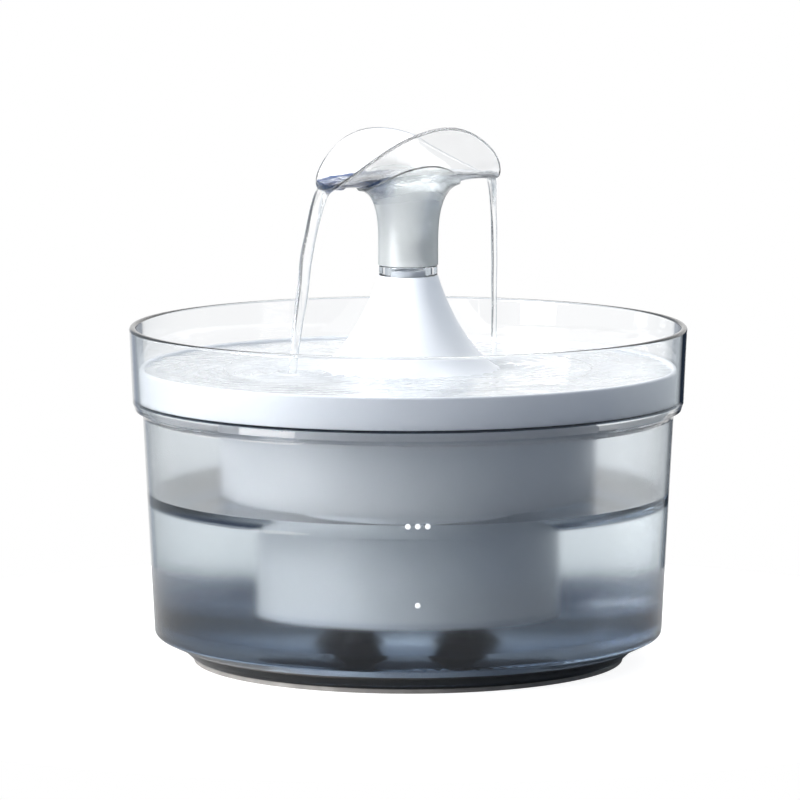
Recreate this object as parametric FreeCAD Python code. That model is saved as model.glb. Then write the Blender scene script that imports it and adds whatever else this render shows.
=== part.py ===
import FreeCAD, Part
import math
import os
from FreeCAD import Vector

# Pet water fountain, in millimetres. Z is up and z = 0 is the surface that the fountain stands on.
# The bowl, tray, cone and spout head share the Z axis. The front, where the level marks are, faces -Y.

# Reservoir: a clear bowl with a wider collar on top and a ring foot below.
RIM_R = 115.0
RIM_Z = 138.6
COLLAR_FOOT_R = 113.65
COLLAR_FOOT_Z = 107.6
COLLAR_ROUND = 1.2
SHOULDER_R = 109.5
SHOULDER_DROP = 4.8
SHOULDER_ROUND = 2.5
STEP_R = 112.8
STEP_DROP = 2.8
HEEL_R = 104.85
HEEL_Z = 11.4
HEEL_ROUND = 2.5
BOWL_WALL = 2.8
FLOOR_Z = 8.4
FLOOR_CORNER_R = 10.0
LEDGE_RISE = 1.0
LIP_ROUND = 1.2
FOOT_R = 89.6
FOOT_W = 7.0
FOOT_Z = 2.0
CHAMFER_R = 94.5
CHAMFER_Z = 6.5
GROOVE_W = 2.0
GROOVE_DEPTH = 2.2
RING_INSET = 0.8

# Gaps between pieces: lift-out pieces, seats, pushed-together pieces and turning pieces.
LOOSE_GAP = 0.5
SEAT_GAP = 0.3
PUSH_GAP = 0.1
RUN_GAP = 0.06

# Drinking tray: a shallow ring dish that rests on the ledge inside the collar.
TRAY_H = 13.4
TRAY_WALL = 2.2
TRAY_BEAD = 3.0
TRAY_ROUND = 0.9
DISH_DEPTH = 10.3
DISH_CORNER_R = 4.0
HUB_DROP = 4.1
HUB_WALL = 2.2
HUB_DRAFT = 0.8
SHELF_DROP = 2.6
SKIRT_H = 9.8
CABLE_HOLE_R = 4.0
CABLE_WALL = 1.8
CABLE_INSET = 10.5

# Filter basket: the wide drum that hangs under the tray.
BASKET_R = 78.0
BASKET_DRAFT = 1.2
BASKET_H = 46.8
BASKET_WALL = 2.0
BASKET_CORNER_R = 3.0
COLUMN_GAP = 3.0
COLUMN_WALL = 1.6
COLUMN_H = 37.0
BASKET_SLOTS = 24
BASKET_SLOT_IN_R = 24.0
BASKET_SLOT_END = 9.0
BASKET_SLOT_W = 2.6

# Filter cartridge: a ring-shaped case with a coarse sponge, a carbon bed and a fine pad.
CASE_SIDE_GAP = 2.0
CASE_H = 20.0
CASE_WALL = 1.5
CASE_DRAFT = 0.8
CASE_BORE_GAP = 0.8
SPONGE_H = 6.0
CARBON_H = 8.0
LID_H = 1.8
CASE_SLOTS = 20
CASE_SLOT_IN_R = 20.0
CASE_SLOT_END = 6.5
CASE_SLOT_W = 2.4
TAB_W = 16.0
TAB_H = 6.0
TAB_T = 2.0
TAB_R = 44.0

# Cone: the raised centre of the tray, on a slotted flange that covers the filter.
CONE_TOP_R = 12.2
CONE_H = 40.9
CONE_FOOT_R = 46.0
# The flare from top to foot, as shares of the spread and of the fall.
CONE_FLARE = [(0.0, 0.0), (0.14, 0.30), (0.30, 0.545), (0.52, 0.79), (0.75, 0.935), (1.0, 1.0)]
CONE_NECK_DEPTH = 9.0
FLANGE_RISE = 0.3
FLANGE_T = 2.0
FLANGE_RIM_W = 1.4
FLANGE_SLOTS = 24
FLANGE_SLOT_IN_R = 51.0
FLANGE_SLOT_END = 6.0
FLANGE_SLOT_W = 3.0

# Neck ring, which the spout head turns on.
NECK_RING_R = 12.0
NECK_RING_H = 4.1
NECK_RING_ROUND = 0.5
SPIGOT_R = 9.0
SPIGOT_UP = 10.0
SPIGOT_DOWN = 8.4

# Spout head: a trumpet that opens from the neck into a wavy rim with two low pouring lips.
HEAD_WALL = 1.5
HEAD_WAVE = 11.3
HEAD_WAVE_TURN = 22.5
HEAD_TILT_X = 2.5
HEAD_TILT_Y = -1.7
HEAD_STEPS = 12
HEAD_RINGS = 5
# The flare's mean line, as (rise above the neck ring, spread beyond the neck).
HEAD_FLARE = [(10.0, 0.0), (20.5, 1.0), (30.6, 4.3), (36.9, 10.4), (41.1, 18.4), (43.9, 26.7)]

# Frosted sleeve round the neck, which covers the first steps of the flare.
SLEEVE_STEPS = 3
SLEEVE_GAP = 0.15
SLEEVE_NECK_T = 1.6
SLEEVE_EDGE_T = 0.9

# Riser: the tube from the pump to the neck.
RISER_R = 7.0
RISER_WALL = 1.4
RISER_TOP_DROP = 2.0
OUTLET_SEAL_H = 1.6

# Pump house: the narrower drum on the bowl's floor, on rubber suction cups.
HOUSE_R = 46.6
HOUSE_WALL = 2.0
HOUSE_ROUND = 2.6
HOUSE_GAP = 1.8
HOUSE_SLOTS = 18
HOUSE_SLOT_W = 2.4
HOUSE_SLOT_H = 14.0
HOUSE_SLOT_RISE = 4.0
BASE_T = 2.4
BASE_SLOTS = 5
BASE_SLOT_W = 2.6
BASE_SLOT_L = 14.0
BASE_SLOT_PITCH = 6.0
CUP_R = 10.0
CUP_H = 13.3
CUP_NECK_R = 5.0
CUP_PLUG_R = 2.0
CUP_X = 16.5
CUP_Y = 31.5
CUP_LIP_W = 1.6
CUP_HOLLOW = 4.5

# Pump: the rotor's axis lies along Y, and the outlet points straight up on the Z axis.
OUTLET_R = 5.5
OUTLET_BORE_R = 4.2
OUTLET_H = 12.0
CHAMBER_R = 11.5
CHAMBER_WALL = 3.0
CHAMBER_DEPTH = 11.0
CHAMBER_FRONT_T = 2.0
BLOCK_W = 36.0
BLOCK_L = 28.0
BLOCK_H = 30.0
BLOCK_ROUND = 4.0
SEAL_T = 1.2
ROTOR_R = 6.0
ROTOR_L = 17.0
ROTOR_END_GAP = 1.5
WELL_GAP = 0.5
SHAFT_R = 1.2
BUSH_R = 3.0
BUSH_L = 3.0
IMPELLER_HUB_R = 4.0
BLADE_COUNT = 6
BLADE_R = 10.2
BLADE_T = 1.4
DISC_T = 1.4
WINDOW_IN_R = 4.6
WINDOW_OUT_R = 10.0
WINDOW_SWEEP = 80.0
CAP_DEPTH = 8.0
CAP_WALL = 1.6
CAP_SLOTS = 5
CAP_SLOT_W = 2.0
CAP_SLOT_PITCH = 4.4
DIAL_R = 11.6
DIAL_T = 1.4
DIAL_PIN_R = 2.2
DIAL_KNOB_R = 5.0
DIAL_KNOB_T = 2.0
SPONGE_W = 60.0
SPONGE_GAP = 1.5
GLAND_R = 4.2
GLAND_PLUG_R = 2.4
GLAND_PLUG_L = 4.0
GLAND_L = 6.0
GLAND_RISE = 6.0
NOTCH_W = 10.0
NOTCH_H = 11.0

ORIGIN = Vector(0, 0, 0)
UP = Vector(0, 0, 1)

# Places that follow from the sizes above, from the collar down to the basket.
LEDGE_Z = COLLAR_FOOT_Z + LEDGE_RISE
TRAY_SEAT_Z = LEDGE_Z + SEAT_GAP
TRAY_Z = TRAY_SEAT_Z + TRAY_H
DISH_Z = TRAY_Z - DISH_DEPTH
TRAY_UNDER_Z = DISH_Z - TRAY_WALL
SKIRT_R = BASKET_R - BASKET_WALL - PUSH_GAP
SKIRT_IN_R = SKIRT_R - TRAY_WALL
HUB_TOP_Z = TRAY_Z - HUB_DROP
HUB_IN_R = SKIRT_R - BASKET_WALL / 4
SHELF_Z = HUB_TOP_Z - SHELF_DROP
BASKET_Z = TRAY_UNDER_Z - BASKET_H
BASKET_FOOT_R = BASKET_R - BASKET_DRAFT
COLUMN_IN_R = RISER_R + COLUMN_GAP
COLUMN_R = COLUMN_IN_R + COLUMN_WALL
CASE_Z = BASKET_Z + BASKET_WALL + SEAT_GAP
CASE_R = SKIRT_IN_R - CASE_SIDE_GAP
CASE_IN_R = COLUMN_R + CASE_BORE_GAP

# Cone, neck and head.
FLANGE_Z = HUB_TOP_Z + FLANGE_RISE
CONE_TOP_Z = FLANGE_Z + CONE_H
NECK_Z = CONE_TOP_Z + NECK_RING_H
HEAD_Z = NECK_Z + SEAT_GAP
HEAD_NECK_R = SPIGOT_R + RUN_GAP + HEAD_WALL
RISER_IN_R = RISER_R - RISER_WALL

# Pump and its house, from the bowl's floor up.
BASE_Z = FLOOR_Z + SEAT_GAP + CUP_H
BASE_TOP_Z = BASE_Z + BASE_T
HOUSE_TOP_Z = BASKET_Z - HOUSE_GAP
HOUSE_IN_R = HOUSE_R - HOUSE_WALL
VOLUTE_R = CHAMBER_R + CHAMBER_WALL
AXLE_X = OUTLET_BORE_R - CHAMBER_R
AXLE_Z = BASE_TOP_Z + BLOCK_H / 2
CHAMBER_Y = CHAMBER_DEPTH / 2
FRONT_Y = -CHAMBER_Y - CHAMBER_FRONT_T
CAP_Y = FRONT_Y - CAP_DEPTH
BLOCK_Y = CHAMBER_Y + SEAL_T
WELL_L = ROTOR_L + 2 * ROTOR_END_GAP
OUTLET_FOOT_Z = AXLE_Z + VOLUTE_R
OUTLET_TOP_Z = OUTLET_FOOT_Z + OUTLET_H


def outline(corners):
    """Closed wire in the XZ plane through (x, z) corners; a third number rounds the corner."""
    placed = [(Vector(c[0], 0, c[1]), c[2] if len(c) > 2 else 0.0) for c in corners]
    count = len(placed)
    spans = []
    for i in range(count):
        here, rounding = placed[i]
        back = (placed[i - 1][0] - here).normalize()
        ahead = (placed[(i + 1) % count][0] - here).normalize()
        if rounding <= 0:
            spans.append((here, None, here))
            continue
        half = back.getAngle(ahead) / 2
        reach = rounding / math.tan(half)
        inward = (back + ahead).normalize()
        middle = here + inward * (rounding / math.sin(half) - rounding)
        spans.append((here + back * reach, middle, here + ahead * reach))
    edges = []
    for i in range(count):
        start, middle, end = spans[i]
        if middle is not None:
            edges.append(Part.Arc(start, middle, end).toShape())
        following = spans[(i + 1) % count][0]
        if end.distanceToPoint(following) > 1e-6:
            edges.append(Part.LineSegment(end, following).toShape())
    return Part.Wire(edges)


def turned(corners):
    """Solid of revolution about Z from an outline of (radius, height) corners."""
    return Part.Face(outline(corners)).revolve(ORIGIN, UP, 360)


def along_y(shape, x, y, z):
    """Turn a shape made about Z so that its axis points along +Y, and place its start."""
    laid = shape.copy()
    laid.rotate(ORIGIN, Vector(1, 0, 0), -90)
    laid.translate(Vector(x, y, z))
    return laid


def tube(outer_r, inner_r, z, height):
    """Plain tube about Z."""
    outer = Part.makeCylinder(outer_r, height, Vector(0, 0, z))
    return outer.cut(Part.makeCylinder(inner_r, height, Vector(0, 0, z)))


def around(shape, count, first=0.0):
    """Copies of a shape spaced evenly about Z."""
    copies = []
    for i in range(count):
        copy = shape.copy()
        copy.rotate(ORIGIN, UP, first + 360.0 * i / count)
        copies.append(copy)
    return copies


def at_corners(shape, x, y):
    """Four copies of a shape, moved to the corners of a rectangle round the Z axis."""
    copies = []
    for side_x, side_y in ((1, 1), (-1, 1), (-1, -1), (1, -1)):
        copy = shape.copy()
        copy.translate(Vector(side_x * x, side_y * y, 0))
        copies.append(copy)
    return copies


def slot(inner_r, outer_r, width, z, height):
    """Radial slot from the inner to the outer radius, as a cutter."""
    return Part.makeBox(outer_r - inner_r, width, height, Vector(inner_r, -width / 2, z))


def round_slot(inner_r, outer_r, width, z, height):
    """Radial slot with round ends, as a cutter."""
    half = width / 2
    bar = slot(inner_r + half, outer_r - half, width, z, height)
    near = Part.makeCylinder(half, height, Vector(inner_r + half, 0, z))
    far = Part.makeCylinder(half, height, Vector(outer_r - half, 0, z))
    return bar.fuse([near, far]).removeSplitter()


def collar_in_r(z):
    """Inner radius of the collar, which leans outwards from its foot to the rim."""
    lean = (RIM_R - COLLAR_FOOT_R) / (RIM_Z - COLLAR_FOOT_Z)
    return COLLAR_FOOT_R + lean * (z - COLLAR_FOOT_Z) - BOWL_WALL


def bowl_in_r(z):
    """Inner radius of the bowl's lower wall."""
    lean = (SHOULDER_R - HEEL_R) / (COLLAR_FOOT_Z - SHOULDER_DROP - HEEL_Z)
    return HEEL_R + lean * (z - HEEL_Z) - BOWL_WALL


def reservoir():
    step_z = COLLAR_FOOT_Z - STEP_DROP
    foot_in_r = FOOT_R - FOOT_W
    groove_in_r = foot_in_r + (FOOT_W - GROOVE_W) / 2
    groove_r = groove_in_r + GROOVE_W
    return turned([
        (0, FLOOR_Z - BOWL_WALL),
        (foot_in_r, FLOOR_Z - BOWL_WALL),
        (foot_in_r, FOOT_Z),
        (groove_in_r, FOOT_Z),
        (groove_in_r, FOOT_Z + GROOVE_DEPTH),
        (groove_r, FOOT_Z + GROOVE_DEPTH),
        (groove_r, FOOT_Z),
        (FOOT_R, FOOT_Z),
        (CHAMFER_R, CHAMFER_Z),
        (HEEL_R, HEEL_Z, HEEL_ROUND),
        (SHOULDER_R, COLLAR_FOOT_Z - SHOULDER_DROP, SHOULDER_ROUND),
        (STEP_R, step_z),
        (COLLAR_FOOT_R, COLLAR_FOOT_Z, COLLAR_ROUND),
        (RIM_R, RIM_Z, LIP_ROUND),
        (collar_in_r(RIM_Z), RIM_Z, LIP_ROUND),
        (collar_in_r(LEDGE_Z), LEDGE_Z),
        (bowl_in_r(LEDGE_Z), LEDGE_Z),
        (bowl_in_r(FLOOR_Z), FLOOR_Z, FLOOR_CORNER_R),
        (0, FLOOR_Z),
    ])


def non_slip_ring():
    inner_r = FOOT_R - FOOT_W + RING_INSET
    outer_r = FOOT_R - RING_INSET
    tongue_in_r = FOOT_R - (FOOT_W + GROOVE_W) / 2 + PUSH_GAP
    tongue_r = tongue_in_r + GROOVE_W - 2 * PUSH_GAP
    tongue_z = FOOT_Z + GROOVE_DEPTH - PUSH_GAP
    return turned([
        (inner_r, 0),
        (outer_r, 0),
        (outer_r, FOOT_Z),
        (tongue_r, FOOT_Z),
        (tongue_r, tongue_z),
        (tongue_in_r, tongue_z),
        (tongue_in_r, FOOT_Z),
        (inner_r, FOOT_Z),
    ])


def drinking_tray():
    top_r = collar_in_r(TRAY_Z) - LOOSE_GAP
    seat_r = collar_in_r(TRAY_SEAT_Z) - LOOSE_GAP
    tray = turned([
        (seat_r, TRAY_SEAT_Z),
        (top_r, TRAY_Z, TRAY_ROUND),
        (top_r - TRAY_WALL, TRAY_Z, TRAY_ROUND),
        (seat_r - TRAY_WALL, DISH_Z, DISH_CORNER_R),
        (HUB_IN_R + HUB_WALL + HUB_DRAFT, DISH_Z),
        (HUB_IN_R + HUB_WALL, HUB_TOP_Z),
        (HUB_IN_R, HUB_TOP_Z),
        (HUB_IN_R, SHELF_Z),
        (SKIRT_IN_R, SHELF_Z),
        (SKIRT_IN_R, TRAY_UNDER_Z - SKIRT_H),
        (SKIRT_R, TRAY_UNDER_Z - SKIRT_H),
        (SKIRT_R, TRAY_UNDER_Z),
        (seat_r - TRAY_BEAD, TRAY_UNDER_Z),
        (seat_r - TRAY_BEAD, TRAY_SEAT_Z),
    ])
    place = Vector(0, seat_r - CABLE_INSET, TRAY_UNDER_Z)
    length = TRAY_Z - TRAY_UNDER_Z
    chimney = Part.makeCylinder(CABLE_HOLE_R + CABLE_WALL, length, place)
    hole = Part.makeCylinder(CABLE_HOLE_R, length, place)
    return tray.fuse(chimney).cut(hole).removeSplitter()


def filter_basket():
    inner_foot_r = BASKET_FOOT_R - BASKET_WALL
    basket = turned([
        (COLUMN_IN_R, BASKET_Z),
        (BASKET_FOOT_R, BASKET_Z, BASKET_CORNER_R),
        (BASKET_R, TRAY_UNDER_Z),
        (BASKET_R - BASKET_WALL, TRAY_UNDER_Z),
        (BASKET_R - BASKET_WALL, TRAY_UNDER_Z - SKIRT_H - BASKET_WALL),
        (inner_foot_r, BASKET_Z + BASKET_WALL),
        (COLUMN_R, BASKET_Z + BASKET_WALL),
        (COLUMN_R, BASKET_Z + COLUMN_H),
        (COLUMN_IN_R, BASKET_Z + COLUMN_H),
    ])
    slot_out_r = inner_foot_r - BASKET_SLOT_END
    cutter = slot(BASKET_SLOT_IN_R, slot_out_r, BASKET_SLOT_W, BASKET_Z, BASKET_WALL)
    return basket.cut(around(cutter, BASKET_SLOTS))


def cartridge_case():
    foot_r = CASE_R - CASE_DRAFT
    top_z = CASE_Z + CASE_H
    case = turned([
        (CASE_IN_R, CASE_Z),
        (foot_r, CASE_Z),
        (CASE_R, top_z),
        (CASE_R - CASE_WALL, top_z),
        (foot_r - CASE_WALL, CASE_Z + CASE_WALL),
        (CASE_IN_R + CASE_WALL, CASE_Z + CASE_WALL),
        (CASE_IN_R + CASE_WALL, top_z),
        (CASE_IN_R, top_z),
    ])
    cutter = slot(CASE_SLOT_IN_R, CASE_R - CASE_SLOT_END, CASE_SLOT_W, CASE_Z, CASE_WALL)
    return case.cut(around(cutter, CASE_SLOTS))


def filter_layer(z, height):
    """A ring of filter medium between the case's inner and outer walls."""
    inner = CASE_IN_R + CASE_WALL + PUSH_GAP
    outer = CASE_R - CASE_DRAFT - CASE_WALL - PUSH_GAP
    return tube(outer, inner, z, height)


def sponge_pad():
    return filter_layer(CASE_Z + CASE_WALL, SPONGE_H)


def carbon_bed():
    return filter_layer(CASE_Z + CASE_WALL + SPONGE_H, CARBON_H)


def polish_pad():
    z = CASE_Z + CASE_WALL + SPONGE_H + CARBON_H
    return filter_layer(z, CASE_Z + CASE_H - z)


def cartridge_lid():
    z = CASE_Z + CASE_H
    lid = tube(CASE_R, CASE_IN_R, z, LID_H)
    cutter = slot(CASE_SLOT_IN_R, CASE_R - CASE_SLOT_END, CASE_SLOT_W, z, LID_H)
    lid = lid.cut(around(cutter, CASE_SLOTS, 180.0 / CASE_SLOTS))
    tab = Part.makeBox(TAB_T, TAB_W, TAB_H + LID_H, Vector(TAB_R - TAB_T / 2, -TAB_W / 2, z))
    across = [e for e in tab.Edges if e.BoundBox.XLength > TAB_T / 2 and e.BoundBox.ZMin > z]
    return lid.fuse(around(tab.makeFillet(TAB_T, across), 2)).removeSplitter()


def cone_points(offset):
    """The cone's flare from top to foot, moved inwards by an offset."""
    spread = CONE_FOOT_R - CONE_TOP_R
    places = [Vector(CONE_TOP_R + out * spread, 0, CONE_TOP_Z - down * CONE_H)
              for out, down in CONE_FLARE]
    points = []
    for i, place in enumerate(places):
        run = (places[min(i + 1, len(places) - 1)] - places[max(i - 1, 0)]).normalize()
        points.append(place + Vector(run.z, 0, -run.x) * offset)
    points[0].z = CONE_TOP_Z
    points[-1].z = FLANGE_Z - offset
    return points


def fountain_cone():
    under_z = FLANGE_Z - FLANGE_T
    rim_r = HUB_IN_R - SEAT_GAP
    rim_in_r = rim_r - FLANGE_RIM_W
    outer_points = cone_points(0.0)
    inner_points = cone_points(FLANGE_T)
    outer = Part.BSplineCurve()
    outer.interpolate(outer_points)
    inner = Part.BSplineCurve()
    inner.interpolate(inner_points)
    flange = [
        outer_points[-1],
        Vector(rim_r, 0, FLANGE_Z),
        Vector(rim_r, 0, SHELF_Z + SEAT_GAP),
        Vector(rim_in_r, 0, SHELF_Z + SEAT_GAP),
        Vector(rim_in_r, 0, under_z),
        inner_points[-1],
    ]
    edges = [outer.toShape(), inner.toShape()]
    edges.append(Part.LineSegment(inner_points[0], outer_points[0]).toShape())
    edges += [Part.LineSegment(a, b).toShape() for a, b in zip(flange, flange[1:])]
    profile = Part.Face(Part.Wire(Part.sortEdges(edges)[0]))
    cone = profile.revolve(ORIGIN, UP, 360)
    neck_z = CONE_TOP_Z - CONE_NECK_DEPTH
    neck = tube(CONE_TOP_R - PUSH_GAP, SPIGOT_R + PUSH_GAP, neck_z, CONE_NECK_DEPTH)
    cutter = round_slot(FLANGE_SLOT_IN_R, rim_r - FLANGE_SLOT_END, FLANGE_SLOT_W, under_z, FLANGE_T)
    return cone.fuse(neck).cut(around(cutter, FLANGE_SLOTS)).removeSplitter()


def neck_ring():
    bore = RISER_R + SEAT_GAP
    return turned([
        (bore, CONE_TOP_Z - SPIGOT_DOWN),
        (SPIGOT_R, CONE_TOP_Z - SPIGOT_DOWN),
        (SPIGOT_R, CONE_TOP_Z),
        (NECK_RING_R, CONE_TOP_Z),
        (NECK_RING_R, NECK_Z, NECK_RING_ROUND),
        (SPIGOT_R, NECK_Z),
        (SPIGOT_R, NECK_Z + SPIGOT_UP),
        (bore, NECK_Z + SPIGOT_UP),
    ])


def head_wave(turn):
    """Height of the rim above its mean at an angle in degrees from +X."""
    angle = math.radians(turn)
    lobes = -HEAD_WAVE * math.cos(2 * (angle - math.radians(HEAD_WAVE_TURN)))
    return lobes + HEAD_TILT_X * math.cos(angle) + HEAD_TILT_Y * math.sin(angle)


def head_curve(turn):
    """Outer line of the flare at an angle, and the parameter where the sleeve ends on it."""
    slope = head_wave(turn) / HEAD_FLARE[-1][1]
    points = [Vector(HEAD_NECK_R + out, 0, HEAD_Z + rise + slope * out) for rise, out in HEAD_FLARE]
    curve = Part.BSplineCurve()
    curve.interpolate(Points=points, InitialTangent=UP, FinalTangent=points[-1] - points[-2])
    return curve, curve.parameter(points[SLEEVE_STEPS])


def flare(turn, to_sleeve_end, first_offset, last_offset):
    """Points up the flare at an angle, moved into the head by offsets that change steadily."""
    curve, sleeve_end = head_curve(turn)
    start = curve.FirstParameter
    stop = sleeve_end if to_sleeve_end else curve.LastParameter
    points = []
    for i in range(HEAD_RINGS):
        share = i / (HEAD_RINGS - 1)
        at = start + share * (stop - start)
        run = curve.tangent(at)[0]
        offset = first_offset + share * (last_offset - first_offset)
        points.append(curve.value(at) + Vector(-run.z, 0, run.x) * offset)
    return points


def lip(turn):
    """Half circle that closes the rim at an angle, from the outer to the inner surface."""
    curve, _ = head_curve(turn)
    run = curve.tangent(curve.LastParameter)[0]
    across = Vector(-run.z, 0, run.x)
    half = HEAD_WALL / 2
    centre = curve.value(curve.LastParameter) + across * half
    angles = [math.pi * i / 4 for i in range(5)]
    return [centre - across * (half * math.cos(a)) + run * (half * math.sin(a)) for a in angles]


def rings(section_at):
    """Closed smooth curves around Z through the points that a function gives for each angle."""
    turns = [360.0 * i / HEAD_STEPS for i in range(HEAD_STEPS)]
    sections = [section_at(turn) for turn in turns]
    wires = []
    for level in range(len(sections[0])):
        points = []
        for turn, section in zip(turns, sections):
            angle = math.radians(turn)
            place = section[level]
            points.append(Vector(place.x * math.cos(angle), place.x * math.sin(angle), place.z))
        ring = Part.BSplineCurve()
        ring.interpolate(Points=points, PeriodicFlag=True)
        wires.append(Part.Wire(ring.toShape()))
    return wires


def neck_foot(ring):
    """The ring at the flare's start, lowered to the foot of the straight neck."""
    foot = ring.copy()
    foot.translate(Vector(0, 0, -HEAD_FLARE[0][0]))
    return foot


def trumpet(outer, inner, edge):
    """Closed solid between two flared skins with straight necks and the strip along their rims."""
    surfaces = [edge, Part.makeRuledSurface(neck_foot(outer[0]), neck_foot(inner[0]))]
    for side in (outer, inner):
        surfaces.append(Part.makeLoft(side, False, False, False, 3))
        surfaces.append(Part.makeRuledSurface(neck_foot(side[0]), side[0]))
    joined = Part.makeCompound([face for surface in surfaces for face in surface.Faces])
    joined.sewShape()
    solid = Part.makeSolid(joined.Shells[0])
    if solid.Volume < 0:
        solid.reverse()
    return solid


def spout_head():
    outer = rings(lambda turn: flare(turn, False, 0.0, 0.0))
    inner = rings(lambda turn: flare(turn, False, HEAD_WALL, HEAD_WALL))
    return trumpet(outer, inner, Part.makeLoft(rings(lip), False, False, False, 3))


def neck_sleeve():
    inner = rings(lambda turn: flare(turn, True, -SLEEVE_GAP, -SLEEVE_GAP))
    outer = rings(lambda turn: flare(turn, True, -SLEEVE_GAP - SLEEVE_NECK_T, -SLEEVE_GAP - SLEEVE_EDGE_T))
    return trumpet(outer, inner, Part.makeRuledSurface(outer[-1], inner[-1]))


def riser_tube():
    z = OUTLET_FOOT_Z + OUTLET_SEAL_H
    return tube(RISER_R, RISER_IN_R, z, NECK_Z - RISER_TOP_DROP - z)


def outlet_seal():
    return tube(RISER_R, OUTLET_R + PUSH_GAP, OUTLET_FOOT_Z, OUTLET_SEAL_H)


def pump_base():
    base = Part.makeCylinder(HOUSE_R, BASE_T, Vector(0, 0, BASE_Z))
    cuts = at_corners(Part.makeCylinder(CUP_PLUG_R + PUSH_GAP, BASE_T, Vector(0, 0, BASE_Z)), CUP_X, CUP_Y)
    start_y = -HOUSE_IN_R + BASE_SLOT_PITCH
    for i in range(BASE_SLOTS):
        x = (i - (BASE_SLOTS - 1) / 2) * BASE_SLOT_PITCH - BASE_SLOT_W / 2
        cuts.append(Part.makeBox(BASE_SLOT_W, BASE_SLOT_L, BASE_T, Vector(x, start_y, BASE_Z)))
    return base.cut(cuts)


def pump_cover():
    hole_r = RISER_R + LOOSE_GAP
    cover = turned([
        (HOUSE_IN_R, BASE_TOP_Z),
        (HOUSE_R, BASE_TOP_Z),
        (HOUSE_R, HOUSE_TOP_Z, HOUSE_ROUND),
        (hole_r, HOUSE_TOP_Z),
        (hole_r, HOUSE_TOP_Z - HOUSE_WALL),
        (HOUSE_IN_R, HOUSE_TOP_Z - HOUSE_WALL),
    ])
    z = BASE_TOP_Z + HOUSE_SLOT_RISE
    cutter = Part.makeBox(3 * HOUSE_WALL, HOUSE_SLOT_W, HOUSE_SLOT_H,
                          Vector(HOUSE_IN_R - HOUSE_WALL, -HOUSE_SLOT_W / 2, z))
    slots = around(cutter, HOUSE_SLOTS)[1:HOUSE_SLOTS // 2]
    notch = Part.makeBox(NOTCH_W, HOUSE_R, NOTCH_H, Vector(-NOTCH_W / 2, 0, BASE_TOP_Z))
    return cover.cut(slots + [notch])


def suction_cups():
    z = BASE_Z - CUP_H
    cup = turned([
        (0, z + CUP_HOLLOW),
        (CUP_R - CUP_LIP_W, z),
        (CUP_R, z),
        (CUP_NECK_R, z + CUP_H / 2),
        (CUP_NECK_R, BASE_Z),
        (CUP_PLUG_R, BASE_Z),
        (CUP_PLUG_R, BASE_TOP_Z),
        (0, BASE_TOP_Z),
    ])
    return Part.makeCompound(at_corners(cup, CUP_X, CUP_Y))


def pump_part(shape, y):
    """Place a shape made about Z on the rotor's axis, starting at y."""
    return along_y(shape, AXLE_X, y, AXLE_Z)


def sector(inner_r, outer_r, height):
    """Ring sector centred on +X."""
    window = Part.makeCylinder(outer_r, height, ORIGIN, UP, WINDOW_SWEEP)
    window = window.cut(Part.makeCylinder(inner_r, height, ORIGIN, UP))
    window.rotate(ORIGIN, UP, -WINDOW_SWEEP / 2)
    return window


def pump_body():
    block = Part.makeBox(BLOCK_W, BLOCK_L, BLOCK_H,
                         Vector(AXLE_X - BLOCK_W / 2, BLOCK_Y, BASE_TOP_Z))
    long_edges = [e for e in block.Edges if e.BoundBox.YLength > BLOCK_L / 2]
    block = block.makeFillet(BLOCK_ROUND, long_edges)
    well = pump_part(Part.makeCylinder(ROTOR_R + WELL_GAP, WELL_L), BLOCK_Y)
    bush_seat = pump_part(Part.makeCylinder(BUSH_R + PUSH_GAP, WELL_L + BUSH_L), BLOCK_Y)
    socket = along_y(Part.makeCylinder(GLAND_PLUG_R + PUSH_GAP, GLAND_PLUG_L),
                     0, BLOCK_Y + BLOCK_L - GLAND_PLUG_L, BASE_TOP_Z + GLAND_RISE)
    relief = Part.makeCylinder(RISER_R + PUSH_GAP, BLOCK_H, Vector(0, 0, OUTLET_FOOT_Z))
    return block.cut([well, bush_seat, socket, relief])


def cable_gland():
    plug = Part.makeCylinder(GLAND_PLUG_R, GLAND_PLUG_L)
    collar = Part.makeCone(GLAND_R, GLAND_PLUG_R, GLAND_L, Vector(0, 0, GLAND_PLUG_L))
    return along_y(plug.fuse(collar), 0, BLOCK_Y + BLOCK_L - GLAND_PLUG_L, BASE_TOP_Z + GLAND_RISE)


def volute_cover():
    depth = CHAMBER_DEPTH + CHAMBER_FRONT_T
    body = pump_part(Part.makeCylinder(VOLUTE_R, depth), FRONT_Y)
    throat = Part.makeBox(2 * OUTLET_R, depth, VOLUTE_R, Vector(-OUTLET_R, FRONT_Y, AXLE_Z))
    stub = Part.makeCylinder(OUTLET_R, OUTLET_TOP_Z - AXLE_Z, Vector(0, 0, AXLE_Z))
    body = body.fuse([throat, stub]).removeSplitter()
    chamber = pump_part(Part.makeCylinder(CHAMBER_R, CHAMBER_DEPTH), FRONT_Y + CHAMBER_FRONT_T)
    bore = Part.makeCylinder(OUTLET_BORE_R, OUTLET_TOP_Z - AXLE_Z, Vector(0, 0, AXLE_Z))
    bush_seat = pump_part(Part.makeCylinder(BUSH_R + PUSH_GAP, CHAMBER_FRONT_T), FRONT_Y)
    windows = around(sector(WINDOW_IN_R, WINDOW_OUT_R, CHAMBER_FRONT_T), 2)
    return body.cut([chamber, bore, bush_seat] + [pump_part(w, FRONT_Y) for w in windows])


def volute_seal():
    return pump_part(tube(VOLUTE_R, CHAMBER_R, 0, SEAL_T), CHAMBER_Y)


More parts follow.
